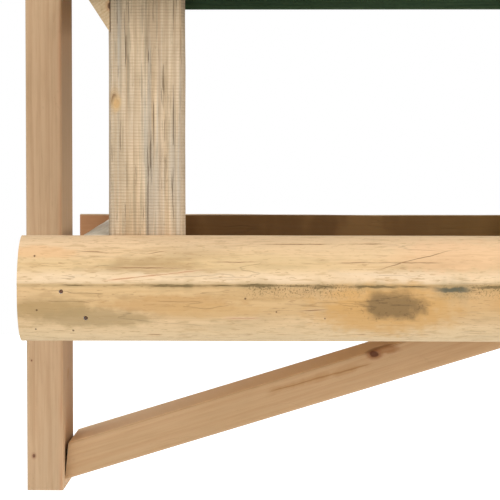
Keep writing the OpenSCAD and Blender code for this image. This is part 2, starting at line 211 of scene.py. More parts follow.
# %% Floor
FLOOR_DEPTH, FLOOR_REACH = -1.0, 9.0
floor_mesh = bpy.data.meshes.new("studio_floor")
floor_mesh.from_pydata([(x * FLOOR_REACH, y * FLOOR_REACH, FLOOR_DEPTH)
                        for x, y in ((-1, -1), (1, -1), (1, 1), (-1, 1))], [], [(0, 1, 2, 3)])
linked("studio_floor", floor_mesh)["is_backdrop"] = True

floor_paint = bpy.data.materials.new("pale floor")
tree = empty_tree(floor_paint)
paint = node(tree, "ShaderNodeBsdfDiffuse", {"Color": (0.84, 0.84, 0.84, 1.0)}, 0)
glow = node(tree, "ShaderNodeEmission", {"Strength": seen_by(tree, "Is Camera Ray") * 0.72}, 0)
both = node(tree, "ShaderNodeAddShader", {0: paint, 1: glow}, 0)
node(tree, "ShaderNodeOutputMaterial", {"Surface": both})
floor_mesh.materials.append(floor_paint)
print("floor at", FLOOR_DEPTH, "m")

# %% Lamps
# name, place, size, watts, colour: all of them look at the tray
TRAY = Vector((0.25, 0.0, -0.1))
LAMPS = (
    ("lamp_above", (0.9, -1.3, 2.3), 1.8, 28.0, (1.0, 0.975, 0.94)),
    ("lamp_camera_side", (-0.6, -2.4, -0.1), 1.3, 14.0, (1.0, 0.98, 0.95)),
    ("lamp_front", (2.4, -0.4, 0.5), 1.6, 30.0, (1.0, 0.98, 0.96)),
    ("lamp_far_side", (0.2, 2.4, 1.0), 1.8, 10.0, (0.96, 0.98, 1.0)),
)
for name, place, size, watts, colour in LAMPS:
    lamp = linked(name, bpy.data.lights.new(name, "AREA"))
    lamp.data.shape, lamp.data.size = "DISK", size
    lamp.data.energy, lamp.data.color = watts, colour
    lamp.location = place
    aim(lamp, TRAY - Vector(place))
print(len(LAMPS), "lamps")

# %% [markdown]
# ## Wood as a solid
# A board shows rings on its ends, arches on its faces and fine fibre everywhere, because
# all three are cuts through one solid. So the pattern is worked out in three dimensions,
# from rings round a pith line, and each piece cuts its own pattern out of it. A flat
# picture wrapped round a board would never meet at its edges. Each effect is a node
# group, written as a function of its inputs. Calling that function places the group, so
# one group serves all woods with different values.

# %% Helpers for patterns and groups
ZERO = (0, 0, 0)


def ramp(value, low, high, out_low=0, out_high=1):
    """Smoothly map a value from one range to another."""
    feeds = {"Value": value, "From Min": low, "From Max": high, "To Min": out_low,
             "To Max": out_high}
    return node(value.tree, "ShaderNodeMapRange", feeds, 0, interpolation_type="SMOOTHSTEP")


def noise(vector, scale, detail=2):
    """Noise about 0.5, stretched by a scale in cycles a metre along x, y and z."""
    feeds = {"Vector": vector * scale, "Scale": 1, "Detail": detail}
    return node(vector.tree, "ShaderNodeTexNoise", feeds, 0)


def shader_group(*labels, **inputs):
    """Build a node group from a function of a vector and of inputs, for labelled outputs."""
    inputs = {"vector": ZERO, **inputs}

    def build(pattern):
        tree = bpy.data.node_groups.new(pattern.__name__.replace("_", " "), "ShaderNodeTree")
        for name, value in inputs.items():
            kind = "NodeSocketVector" if isinstance(value, tuple) else "NodeSocketFloat"
            tree.interface.new_socket(name=name, socket_type=kind).default_value = value
        for label in labels:
            tree.interface.new_socket(name=label, in_out="OUTPUT", socket_type="NodeSocketFloat")
        given = outputs(tree.nodes.new("NodeGroupInput"))
        gives = tree.nodes.new("NodeGroupOutput").inputs
        for label, value in zip(labels, pattern(*[given[name] for name in inputs])):
            plug(value, gives[label])

        def place(vector, **values):
            """Place the group in a vector's tree; returns its outputs by label."""
            feeds = {"vector": vector, **values}
            return outputs(node(vector.tree, "ShaderNodeGroup", feeds, node_tree=tree))
        return place
    return build


# %% Group: solid pine
@shader_group("Late Wood", "Fibre", "Cloud",
              pith=ZERO, ring_width=2.6 * MM, wander=5 * MM, seed=0)
def solid_pine(vector, pith, ring_width, wander, seed):
    """Pine with its grain along x; late wood is the dark part of each ring."""
    here = vector + combine(X=seed * 0.731)
    radius = calc("LENGTH", (vector - pith) * (0, 1, 1), out="Value")
    radius += (noise(here, (2.2, 9, 9)) - 0.5) * wander
    radius += (noise(here, (14, 90, 90)) - 0.5) * (1.6 * MM)
    count = radius / ring_width
    ring = calc("FRACT", count)
    late = ramp(ring, 0.25, 0.85) * ramp(ring, 1, 0.93)
    year = node(count.tree, "ShaderNodeTexWhiteNoise", {"W": calc("FLOOR", count)}, "Value",
                noise_dimensions="1D")
    return (late * ramp(year, 0, 1, 0.35, 1), noise(here, (22, 700, 700), 3),
            noise(here, (5, 26, 26), 4))


# %% Group: knot
# The renderer works out all nodes that are ready at once and soon has no room for their
# results. After makes a mark wait for the one before it, and changes nothing else.
WAIT = 1e-9


@shader_group("Core", "Halo", "Swirl",
              centre=ZERO, radii=(0.01, 0.01, 0.01), fray=0.5, after=0)
def knot(vector, centre, radii, fray, after):
    """An egg-shaped patch with frayed rims: a dark core, and a halo where the grain turns."""
    here = vector + after * WAIT
    reach = calc("LENGTH", (here - centre) / radii, out="Value")
    reach = reach.plus(noise(here, (110, 110, 160), 3) - 0.5, fray)
    swirl = calc("FRACT", reach * 4)
    return (ramp(reach, 1, 0.6), ramp(reach, 1.9, 0.9),
            ramp(swirl, 0.5, 0.9) * ramp(reach, 2.2, 0.8))


# %% Group: line along the grain
FADE = 14 * MM


@shader_group("Line", "Soft", height=0, slope=0, thickness=1.2 * MM,
              start=0, end=1, wander=3 * MM, broken=0.5, seed=0, after=0)
def grain_line(vector, height, slope, thickness, start, end, wander, broken, seed, after):
    """A broken, wandering line along x, for drying cracks, and for lines of mould and of painted
    shade.
    """
    here = vector + after * WAIT
    flat = (here + combine(Y=seed)) * (1, 1, 0)
    x, z = here.axis("X"), here.axis("Z")
    height = height.plus(noise(flat, (12, 1, 1), 3) - 0.5, wander)
    height = height.plus(noise(here, (150, 1, 220), 3) - 0.5, thickness * 1.6)
    height = height.plus(x - start, slope)
    present = ramp(noise(flat, (31, 1, 1), 3) - broken, -0.05, 0.12)
    present *= ramp(x - start, 0, FADE) * ramp(end - x, 0, FADE)
    swell = ramp(noise(flat, (75, 1, 1), 3), 0.3, 0.7, 0.45, 1.35)
    away = calc("ABSOLUTE", z - height) / (thickness * swell)
    return ramp(away, 1, 0.3) * present, ramp(away, 5, 0) * present


# %% Group: weathering
@shader_group("Smudge", "Mottle", "Specks", "Hairline", seed=0)
def weathering(vector, seed):
    """Outdoors, wood gathers smudges, mottles and specks, and opens in hairline cracks."""
    here = vector + combine(Y=seed)
    cells = outputs(node(here.tree, "ShaderNodeTexVoronoi",
                         {"Vector": here * (80, 130, 130), "Scale": 1}))
    chosen = node(here.tree, "ShaderNodeSeparateColor", {"Color": cells["Color"]}, 0)
    crack = calc("ABSOLUTE", noise(here, (9, 85, 85), 3) - 0.5)
    where = ramp(noise(here, (22, 40, 40), 1), 0.52, 0.58)
    return (ramp(noise(here, (9, 45, 45), 4), 0.5, 0.66),
            ramp(noise(here, (60, 230, 230), 4), 0.5, 0.68),
            ramp(chosen, 0.62, 0.66) * ramp(cells["Distance"], 0.13, 0.05),
            ramp(crack, 0.006, 0.001) * where)


# %% Group: saw marks
@shader_group("Mark", pitch=2.4 * MM, seed=0)
def saw_marks(vector, pitch, seed):
    """A band saw's fine, nearly parallel marks across the grain, a few in each centimetre."""
    here = vector + combine(Z=seed)
    sway = noise(here, (35, 35, 35)) - 0.5
    place = vector.axis("X").plus(sway, 1.2 * MM).plus(vector.axis("Y"), 0.05)
    tooth = calc("FRACT", place / pitch)
    tooth = ramp(tooth, 0.3, 0.7) * ramp(tooth, 1, 0.8)
    return [tooth * ramp(noise(here, (160, 60, 60), 3), 0.2, 0.6, 0.3)]


# %% Group: worn edge
@shader_group("Wear", reach=1.6 * MM)
def worn_edge(vector, reach):
    """Where a rounded copy of the surface turns away from the real one, there is an edge."""
    rounded = node(reach.tree, "ShaderNodeBevel", {"Radius": reach}, 0, samples=4)
    plain = node(reach.tree, "ShaderNodeNewGeometry", out="Normal")
    turn = calc("DOT_PRODUCT", rounded, plain, out="Value")
    patchy = ramp(noise(vector, (60, 60, 60), 3), 0.35, 0.6)
    return [ramp(turn, 0.97, 0.75) * patchy]


print("shader groups:", ", ".join(group.name for group in bpy.data.node_groups))

# %% [markdown]
# ## One wood material, many woods
# Every wooden piece is pine, but peeled, sawn, planed or stained. One function builds the
# material from a look: its early and late wood colours, how strong the rings are, how
# aged it is and how it was cut. The grain is turned along each piece with a Mapping node,
# and each piece has its own pith and seed, so no two boards are cut from the same spot.
# All colours are display colours, from 0 to 255, as one reads them in a picture.

# %% Looks of the wood
def look(pale, dark, aged, late=0.5, fibre=0.35, ageing=0.5, ring=2.6, wander=6, saw=0,
         wear=0, worn=(226, 204, 172), rough=(0.74, 0.9), weather=0.5, grime=(134, 112, 74),
         slot="strip_wood", bevel=0.6):
    """One kind of wood: its colours, and where it differs from plain sawn pine."""
    return SimpleNamespace(**locals())


PEELED = look((216, 183, 139), (188, 150, 103), (208, 178, 130), late=0.3, ageing=0.6,
              fibre=0.3, weather=1, slot="peeled_log")
GREYED = look((232, 217, 194), (202, 182, 152), (214, 200, 176), late=0.35, slot="peeled_log")
SAWN = look((220, 194, 160), (170, 140, 106), (188, 172, 150), late=0.6, saw=0.65, ageing=0.6,
            ring=3, wander=3, weather=0.6, slot="sawn_post")
PLANED = look((199, 165, 129), (171, 131, 94), (186, 156, 122), late=0.3, ring=4.6, wear=0.5,
              fibre=0.25, wander=14, worn=(210, 178, 144), weather=0.25,
              slot="planed_plank", bevel=0.8)
STRIP = look((214, 186, 149), (182, 145, 102), (196, 172, 138), late=0.6, ring=2.2, saw=0.25)
GREEN = look((68, 101, 70), (52, 82, 58), (78, 106, 70), fibre=0.45, ring=3.4, wear=0.8,
             worn=(106, 124, 86), rough=(0.55, 0.75), weather=0.3, grime=(46, 62, 40),
             slot="green_wood")
print("looks of wood: peeled, greyed, sawn, planed, strip, green")


# %% Colours
def linear(colour):
    """A display colour as the linear colour that nodes take; an output stays as it is."""
    if isinstance(colour, Value):
        return colour
    parts = [part / 255 for part in colour]
    return (*[part / 12.92 if part <= 0.04045 else ((part + 0.055) / 1.055) ** 2.4
              for part in parts], 1)


def tint(colour, mask, tone):
    """Lay a tone over a colour where the mask is 1."""
    feeds = {0: mask, 6: linear(colour), 7: linear(tone)}
    return node(first_of((mask, colour)).tree, "ShaderNodeMix", feeds, 2, data_type="RGBA")


# %% [markdown]
# ## A skin for marks
# Marks are laid one after another, like paint: each takes the colour and the height that
# the last one left. A Skin holds both while a material is made. Its places are given in
# the feeder's own coordinates, in millimetres, so marks stay put in every view.

# %% Skin
class Skin:
    """The colour and the height, in mm, of one material while its marks are laid."""

    def __init__(self, coords, colour, height):
        self.coords, self.colour, self.height = coords, colour, height

    def lay(self, tone, mask):
        """Lay a tone where the mask is 1."""
        self.colour = tint(self.colour, mask, tone)

    def dent(self, mask, depth):
        """Sink the surface where the mask is 1."""
        self.height = self.height.plus(mask, -depth)

    def noise(self, scale, detail=3):
        """Noise at the feeder's own coordinates."""
        return noise(self.coords, scale, detail)

    def band(self, axis, low, high, *ends):
        """0 to 1, or other ends, across a stretch of one axis."""
        return ramp(self.coords.axis(axis), low * MM, high * MM, *ends)

    def facing(self, axis, low, high):
        """0 to 1 as the surface turns to face along one axis."""
        normal = node(self.coords.tree, "ShaderNodeNewGeometry", out="Normal")
        return ramp(normal.axis(axis), low, high)

    def patch(self, centre, radii, **values):
        """The masks of an egg-shaped patch."""
        return knot(self.coords, centre=Vector(centre) * MM, radii=Vector(radii) * MM, **values)

    def add_knot(self, centre, radii, core, halo, fray=0.6):
        """Lay a knot, whose core is sunk a little."""
        here = self.patch(centre, radii, fray=fray)
        self.lay(halo, here["Halo"] * 0.75)
        self.lay(core, here["Swirl"] * 0.3)
        self.lay(core, here["Core"] * 0.85)
        self.dent(here["Core"], 0.25)

    def add_blotch(self, centre, radii, tone, strength):
        """Lay a soft, frayed stain."""
        here = self.patch(centre, radii, fray=1.6, after=self.colour)
        self.lay(tone, here["Halo"] * strength)

    def add_lines(self, core, rim, depth, lines, rim_share=0.5):
        """Lay broken lines of one ink along x, and sink their cores."""
        mask = soft = 0
        for z, thickness, start, end, wander, broken, slope in lines:
            here = grain_line(self.coords, height=z * MM, thickness=thickness * MM, slope=slope,
                              start=start * MM, end=end * MM, wander=wander * MM,
                              broken=broken, seed=start * 0.013, after=mask)
            mask = calc("MAXIMUM", mask, here["Line"])
            soft = calc("MAXIMUM", soft, here["Soft"])
        self.lay(rim, soft * rim_share)
        self.lay(core, mask * 0.85)
        self.dent(mask, depth)

    def close(self, strength, reach, feeds):
        """Finish the material: the height becomes the normal of its shader."""
        tree = self.coords.tree
        bump = {"Strength": strength, "Distance": reach, "Height": self.height}
        normal = node(tree, "ShaderNodeBump", bump, 0)
        feeds = {"Base Color": self.colour, "Normal": normal, **feeds}
        surface = node(tree, "ShaderNodeBsdfPrincipled", feeds, 0)
        node(tree, "ShaderNodeOutputMaterial", {"Surface": surface})


# %% Wood material
ALONG_X, ALONG_Y, ALONG_Z = (1, 0, 0), (0, 1, 0), (0, 0, 1)
WEATHER_SHARES = {"Smudge": 0.3, "Mottle": 0.24, "Specks": 0.5, "Hairline": 0.42}


def wood(piece, kind, along, pith, seed, marks=None):
    """Pine for one piece, its grain along a direction; pith is in mm from its middle."""
    made = bpy.data.materials.new(piece.replace("_", " ") + " wood")
    tree = empty_tree(made)
    coords = node(tree, "ShaderNodeTexCoord", out="Object")
    low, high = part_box(piece)
    turn = Vector(along).rotation_difference(Vector(ALONG_X))
    local = node(tree, "ShaderNodeMapping", {"Vector": coords, "Rotation": turn.to_euler(),
                                             "Location": -(turn @ ((low + high) / 2))}, 0)
    grain = solid_pine(local, pith=Vector(pith) * MM, ring_width=kind.ring * MM,
                       wander=kind.wander * MM, seed=seed)
    skin = Skin(coords, kind.pale, grain["Late Wood"] * 0.05)
    skin.lay(kind.aged, ramp(grain["Cloud"], 0.42, 0.62) * kind.ageing)
    skin.lay(kind.dark, grain["Late Wood"] * kind.late)
    skin.lay(kind.dark, ramp(grain["Fibre"], 0.42, 0.68) * kind.fibre)
    skin.dent(grain["Fibre"], 0.16)
    weather = weathering(local, seed=seed)
    for label, share in WEATHER_SHARES.items():
        skin.lay(kind.grime, weather[label] * (share * kind.weather))
    skin.dent(weather["Hairline"], 0.3 * kind.weather)
    if kind.saw:
        mark = saw_marks(local, seed=seed)["Mark"]
        skin.lay(kind.dark, mark * (0.5 * kind.saw))
        skin.dent(mark, 0.3 * kind.saw)
    if kind.wear:
        skin.lay(kind.worn, worn_edge(coords)["Wear"] * kind.wear)
    if marks:
        marks(skin)
    roughness = ramp(grain["Fibre"], 0.3, 0.7, *kind.rough)
    skin.close(1, MM, {"Roughness": roughness, "Specular IOR Level": 0.35})
    return made


# %% [markdown]
# ## Marks of single pieces
# The near rail is what the eye rests on. Its round side goes from peach at the top through
# ochre to a pale greenish beige below. A dark line along a drying crack just above its
# middle is painted both as mould and as the crack's shade, under a painted highlight on
# its lip, and one grey-brown knot interrupts it.

# %% Tables of the near rail's marks
# y of the log's round side, on which its patches are centred, and how deep they reach
NEAR_SIDE, DEEP = -212, 30
# x, z, half width, half height, colour, strength
NEAR_BLOTCHES = (
    (28, -138, 18, 3.2, (222, 172, 122), 0.45), (112, -148, 24, 3.4, (174, 142, 98), 0.6),
    (200, -146, 34, 4, (206, 178, 134), 0.4), (34, -180, 24, 5, (168, 138, 92), 0.7),
    (66, -187, 30, 5, (166, 140, 98), 0.7), (128, -176, 34, 4.5, (188, 146, 94), 0.65),
    (190, -170, 26, 3.4, (182, 146, 96), 0.4), (152, -181, 30, 4, (200, 160, 106), 0.5),
    (286, -180, 36, 13, (200, 154, 92), 0.8), (340, -141, 34, 8, (228, 182, 140), 0.45),
    (262, -139, 26, 4, (216, 184, 142), 0.4), (420, -172, 46, 8, (196, 152, 98), 0.6),
    (470, -186, 22, 6, (184, 156, 112), 0.5))
# Inks of the line of mould and painted shade under the drying crack, of blue stain, of cracks and
# of red streaks: core, rim, depth and lines.
# A line has a height, a thickness, a start, an end, a wander, how broken it is, and a slope.
NEAR_INKS = (
    ((116, 96, 60), (160, 134, 90), 0.5, (
        (-162, 0.6, 40, 114, 2, 0.46, 0), (-162.4, 1.2, 104, 160, 1.6, 0.36, 0),
        (-162.4, 0.6, 150, 178, 1.5, 0.4, 0), (-162.4, 1.5, 168, 212, 1.6, 0.36, 0),
        (-162.5, 0.5, 204, 236, 1.2, 0.2, 0), (-163, 1.6, 226, 300, 1.8, 0.33, 0),
        (-163, 0.8, 290, 322, 1.2, 0.3, 0), (-163.2, 1.4, 346, 440, 2.5, 0.35, 0),
        (-163, 1, 430, 516, 3, 0.5, 0))),
    ((74, 78, 66), (138, 124, 90), 0.25, ((-165, 2.7, 316, 354, 2, -0.2, 0),)),
    ((146, 110, 72), (212, 178, 136), 0.25, (
        (-137, 0.45, 50, 83, 1.6, 0.15, -0.05), (-150.5, 0.35, 93, 104, 2.4, -0.2, 0.9),
        (-140, 0.4, 102, 126, 3, 0.1, 0.15), (-181.5, 0.5, 216, 247, 0.8, 0.1, 0.05),
        (-152, 0.4, 276, 338, 7, 0.15, 0.26), (-149.5, 0.5, 58, 140, 3, 0.42, 0),
        (-132.5, 0.4, 190, 290, 2, 0.45, 0), (-145.5, 0.4, 150, 330, 4, 0.5, 0),
        (-200, 0.6, 100, 330, 4, 0.52, 0))),
    ((192, 142, 104), (226, 190, 152), 0.25, (
        (-159.4, 0.5, 72, 152, 0.8, 0.2, 0.11), (-187, 0.45, 160, 196, 1.2, 0.2, 0))))
# x, z, radius
NEAR_SPECKS = ((23.5, -141, 0.9), (25.7, -181, 0.9), (204, -182, 0.7), (391, -176, 0.8),
               (181, -172, 0.9), (24, -196, 0.8), (52, -197, 0.9), (240, -187, 0.7))
print("near rail:", len(NEAR_BLOTCHES), "blotches,", sum(len(ink[3]) for ink in NEAR_INKS), "lines")


# %% Marks of the near rail
def near_rail_tones(skin):
    """Tones by height, a painted highlight on the ridge with painted shade under it, and dashes of
    fibre.
    """
    band = skin.band
    skin.lay((230, 197, 160), band("Z", -146, -130) * 0.55)
    skin.lay((216, 190, 150), band("Z", -182, -206) * 0.8)
    ochre = band("Z", -192, -176) * band("Z", -158, -163)
    skin.lay((198, 156, 104), ochre * (band("X", 60, 420) * 0.4 + 0.28))
    # Painted highlight on the ridge above the drying crack, and painted shade at its foot.
    ridge = band("Z", -161.6, -160.6) * band("Z", -148.5, -155)
    uneven = ramp(skin.noise((16, 16, 60)), 0.35, 0.65, 0.35, 0.7)
    skin.lay((232, 205, 172), ridge * uneven)
    shadow = band("Z", -158, -162) * band("Z", -165, -162.5)
    skin.lay((172, 146, 104), shadow * 0.4)
    for scale, low, strength, tone in (((55, 400, 400), 0.57, 0.4, (178, 144, 100)),
                                       ((150, 900, 900), 0.6, 0.5, (158, 122, 80))):
        skin.lay(tone, ramp(skin.noise(scale), low, low + 0.08, 0, strength))


def near_rail_marks(skin):
    """The tones, then stains, the line of mould and painted shade, cracks, the knot with its
    freckles, and specks.
    """
    band = skin.band
    near_rail_tones(skin)
    for x, z, wide, high, tone, strength in NEAR_BLOTCHES:
        skin.add_blotch((x, NEAR_SIDE, z), (wide, DEEP, high), tone, strength)
    # The first ink, the dark line under the drying crack's lip, is painted both as mould and as its
    # shade.
    for ink in NEAR_INKS:
        skin.add_lines(*ink)
    spores = band("Z", -175, -165) * band("Z", -160, -162.5)
    spores *= ramp(skin.noise((15, 1, 1), 2), 0.47, 0.6)
    spores *= band("X", 150, 185)
    spores *= ramp(skin.noise((800, 800, 800), 4), 0.53, 0.62)
    skin.lay((110, 92, 58), spores * 0.75)
    skin.add_blotch((291, NEAR_SIDE, -177), (16, DEEP, 7.5), (132, 104, 66), 0.93)
    freckles = ramp(skin.noise((420, 420, 420)), 0.6, 0.68)
    freckles *= skin.patch((288, NEAR_SIDE, -178), (20, DEEP, 8))["Halo"]
    skin.lay((112, 84, 54), freckles * 0.6)
    mask = 0
    for x, z, size in NEAR_SPECKS:
        speck = skin.patch((x, NEAR_SIDE, z), (size, DEEP, size), after=mask)
        mask = calc("MAXIMUM", mask, speck["Core"])
    skin.lay((98, 70, 44), mask * 0.8)
    skin.dent(mask, 0.4)


# %% Marks of the far rail
def far_rail_marks(skin):
    """Its inner side is red-brown near the wall, and painted shade makes it dark brown inside the
    tray, under the roof.
    """
    inner = skin.band("Y", 177.5, 175.5)
    skin.lay((190, 132, 92), inner * 0.8)
    # Painted shade: inside the tray, under the roof, the inner side is laid dark brown, mottled,
    # and a little lighter towards the front.
    damp = ramp(skin.noise((26, 20, 14)), 0.4, 0.65)
    brown = tint((108, 78, 38), damp, (142, 108, 62))
    brown = tint(brown, skin.band("X", 250, 420) * 0.75, (158, 124, 72))
    feed = skin.band("X", 50, 78) * skin.band("Z", -172, -168)
    skin.lay(brown, feed * inner * 0.88)


# %% Marks of the posts
# scale, lowest noise, colour and strength of each layer of streaks
STREAKS = (
    ((80, 80, 2.6), 0.5, (166, 162, 152), 0.65),
    ((260, 260, 4), 0.54, (174, 140, 106), 0.55),
    ((420, 420, 9), 0.55, (134, 122, 98), 0.55),
    ((700, 700, 30), 0.57, (122, 108, 84), 0.45))


def post_marks(skin):
    """Blue-grey and tan streaks down the sawn faces, short drying checks, and painted shade on the
    tops under the roof.
    """
    sawn = calc("MAXIMUM", skin.facing("Y", 0.8, 0.95), skin.facing("Y", -0.8, -0.95))
    sawn = ramp(sawn, 0, 1, 0.2, 1) * skin.band("Z", -150, 40, 0.6, 1)
    for scale, low, tone, strength in STREAKS:
        skin.lay(tone, ramp(skin.noise(scale), low, low + 0.12, 0, strength) * sawn)
    check = ramp(skin.noise((620, 620, 20), 2), 0.65, 0.69)
    skin.lay((96, 78, 54), check * 0.7)
    skin.dent(check, 0.4)
    # Painted shade: the top 70 mm of each post, under the roof, is darkened.
    skin.lay((156, 132, 106), skin.band("Z", 0, 70) * 0.5)


def first_post_marks(skin):
    """The post in front has one ochre knot at its edge, with a dark crescent."""
    post_marks(skin)
    skin.add_knot((80.5, -175, -25), (3, 9, 6.5), (126, 94, 60), (190, 158, 118), fray=0.9)
    skin.add_knot((82.2, -175, -28), (2.4, 9, 4.4), (200, 160, 108), (204, 170, 124), fray=0.9)


# %% Marks of the plank, the batten and the brace
def plank_marks(skin):
    """Painted light on the front, which faces away from the wall, a darker arris, two pin knots on
    the edge and a knot on the front.
    """
    # Painted light: the front, which faces away from the wall, is made paler.
    skin.lay((230, 192, 150), skin.facing("X", 0.6, 0.85) * 0.35)
    arris = skin.band("X", 24.5, 28.5) * skin.facing("Y", -0.5, -0.9)
    arris *= ramp(skin.noise((9, 9, 16), 2), 0.35, 0.6, 0.15, 0.55)
    skin.lay((186, 130, 92), arris)
    for x, z, size in ((5.5, -312, 1.5), (4, -235, 0.6)):
        skin.add_knot((x, -48, z), (size, 9, size * 1.3), (104, 66, 44), (174, 132, 98))
    skin.add_knot((29, 14, 96), (9, 8, 12), (112, 70, 44), (170, 126, 86))


def batten_marks(skin):
    """Painted shade: a dark spot, laid as a knot, in the gap where the batten's corner meets the
    post.
    """
    skin.add_knot((78, -175, 46), (2.6, 70, 3.2), (84, 54, 34), (190, 146, 104), fray=0.8)


def brace_marks(skin):
    """An ochre tone, painted light on the top face, growth lines and a dark red-brown knot."""
    skin.lay((192, 150, 98), 0.3)
    # Painted light: the top face, shaded by the tray above it, is made paler.
    skin.lay((244, 210, 166), skin.facing("Z", 0.6, 0.85) * 0.85)
    skin.add_lines((160, 118, 74), (172, 130, 84), 0.1, (
        (-262, 0.9, 190, 280, 5, -0.2, 0.27), (-275, 0.8, 100, 215, 5, 0.1, 0.27)),
        rim_share=0.7)
    skin.add_blotch((286, -31, -226), (9, 14, 3.2), (150, 100, 56), 0.7)
    skin.add_knot((279.5, -31, -230.5), (5, 14, 3), (84, 44, 24), (150, 98, 60), fray=0.8)


print("marks for both side rails, the posts, the plank, a batten and the brace")

# %% [markdown]
# ## Steel
# The screws are zinc-plated and a little dull, and the nails are plain steel with the
# first rust. Metal has almost no colour of its own, so patches of roughness and rust
# carry its look.

# %% Steel materials
def steel(name, bright, dull, rust_share):
    """Plated or plain steel with dull patches and rust."""
    made = bpy.data.materials.new(name)
    coords = node(empty_tree(made), "ShaderNodeTexCoord", out="Object")
    patches = noise(coords, (420, 420, 420), 4)
    skin = Skin(coords, bright, patches)
    skin.lay(dull, ramp(patches, 0.4, 0.65))
    rust = ramp(skin.noise((700, 700, 700), 4),
                0.72 - rust_share * 0.4, 0.8 - rust_share * 0.3)
    skin.lay((104, 62, 38), rust)
    skin.close(0.6, 0.1 * MM, {"Metallic": ramp(rust, 0, 1, 0.95, 0.1),
                               "Roughness": ramp(patches, 0.3, 0.7, 0.32, 0.6)})
    return made


zinc = steel("zinc-plated steel", (205, 200, 182), (150, 148, 140), 0.15)
nail_steel = steel("plain nail steel", (150, 146, 140), (98, 92, 86), 0.55)
punched_steel = steel("rusty nail steel", (92, 78, 62), (66, 54, 42), 0.8)
print("steel materials:", ", ".join((zinc.name, nail_steel.name, punched_steel.name)))

# %% [markdown]
# ## Half-logs from one rule
# The four rails and the four posts are logs sawn lengthwise, a little past the middle, and
# peeled. They differ only in diameter, thickness, length and the slope of their top, so
# one Geometry Nodes tree grows them all. It bends a cylinder's ring of points into an arc
# and lets the ring's last step close it straight across, which is the sawn side. Noise,
# stretched along the grain, takes up to a millimetre off the round side, like a
# drawknife. It only ever takes wood away, so a log stays inside the CAD solid.

# %% Helpers for geometry trees
SOCKET_KINDS = {float: "NodeSocketFloat", int: "NodeSocketInt", type(None): "NodeSocketMaterial"}


def geometry_tree(name, inputs):
    """Start a tree; returns it, its given inputs and the socket that takes its result."""
    tree = bpy.data.node_groups.new(name, "GeometryNodeTree")
    for way in ("INPUT", "OUTPUT"):
        tree.interface.new_socket(name="Geometry", in_out=way, socket_type="NodeSocketGeometry")
    for label, value in inputs.items():
        made = tree.interface.new_socket(name=label, socket_type=SOCKET_KINDS[type(value)])
        if value is not None:
            made.default_value = value
    given = outputs(tree.nodes.new("NodeGroupInput"))
    return tree, given, tree.nodes.new("NodeGroupOutput").inputs[0]


def end_tree(shape, material, result):
    """End a tree with real geometry that has its material."""
    real = node(shape.tree, "GeometryNodeRealizeInstances", {0: shape}, 0)
    feeds = {"Geometry": real, "Material": material}
    plug(node(shape.tree, "GeometryNodeSetMaterial", feeds, 0), result)


def plain_mesh(piece):
    """Replace a piece's mesh by what its modifiers make of it, and remove them."""
    bpy.context.view_layer.update()
    depsgraph = bpy.context.evaluated_depsgraph_get()
    mesh = bpy.data.meshes.new_from_object(piece.evaluated_get(depsgraph), depsgraph=depsgraph)
    piece.modifiers.clear()
    piece.data = mesh
    mesh.name = piece.name
    return piece


def grow(tree, name, mesh=None, **values):
    """Run a geometry tree with its inputs set, and keep the result as a plain mesh."""
    piece = linked(name, mesh or bpy.data.meshes.new(name))
    modifier = piece.modifiers.new("shape", "NODES")
    modifier.node_group = tree
    keys = {item.name: item.identifier for item in tree.interface.items_tree
            if item.in_out == "INPUT"}
    for label, value in values.items():
        modifier[keys[label.replace("_", " ")]] = value
    return plain_mesh(piece)


# %% Tree: half log
LEDGE_TOP, LEDGE_FOOT, LEDGE_FADE = 0.4 * MM, -1.2 * MM, (-24 * MM, -6 * MM)
half_log, given, result = geometry_tree("half log", {
    "Length": 0.4, "Diameter": 0.08, "Thickness": 0.047, "End Slope Y": 0.0, "End Slope Z": 0.0,
    "Points Around": 72, "Points Along": 110, "Peeling": 1.0 * MM, "Ledge Height": 0.0,
    "Ledge Depth": 0.0, "Seed": 0.0, "Material": None})
tube = node(half_log, "GeometryNodeMeshCylinder", {
    "Vertices": given["Points Around"], "Side Segments": given["Points Along"], "Radius": 1,
    "Depth": 1}, "Mesh")

# each point's share of the way round the arc
position = node(half_log, "GeometryNodeInputPosition", out=0)
angle = calc("ARCTAN2", position.axis("Y"), position.axis("X"))
angle = calc("WRAP", angle, 2 * math.pi - 0.001, -0.001)
steps = given["Points Around"] - 1
share = angle * given["Points Around"] / (steps * (2 * math.pi))

# the arc, whose sawn side lies past the log's middle
log_radius = given["Diameter"] / 2
past_middle = given["Thickness"] - log_radius
corner = calc("ARCCOSINE", past_middle / log_radius)
sweep = calc("SUBTRACT", 2 * math.pi, corner * 2)
turn = corner.plus(sweep, share)
cosine, sine = calc("COSINE", turn), calc("SINE", turn)
ring_y = cosine * log_radius - past_middle
ring_z = sine * log_radius
reach = given["Length"].plus(ring_y, given["End Slope Y"]).plus(ring_z, given["End Slope Z"])
along = (position.axis("Z") + 0.5) * reach

# what the drawknife takes off, and the ledge
spot = combine(X=along + given["Seed"], Y=ring_y, Z=ring_z)
broad = ramp(noise(spot, (5, 24, 24), 1), 0.3, 0.7, 0, 0.75)
fine = ramp(noise(spot, (18, 110, 110)), 0.3, 0.7, 0, 0.25)
ledge = ring_z - given["Ledge Height"]
under = ramp(ledge, LEDGE_TOP, LEDGE_FOOT) * ramp(ledge, *LEDGE_FADE)
under *= ramp(ring_y, 0, -12 * MM)
shaved = ((broad + fine) * given["Peeling"]).plus(under, given["Ledge Depth"])
radius = log_radius - shaved
log_y = calc("MINIMUM", 0, cosine * radius - past_middle)
place = combine(X=along, Y=log_y, Z=sine * radius)
shaped = node(half_log, "GeometryNodeSetPosition", {"Geometry": tube, "Position": place}, 0)
end_tree(shaped, given["Material"], result)
print("half log tree:", len(half_log.nodes), "nodes")


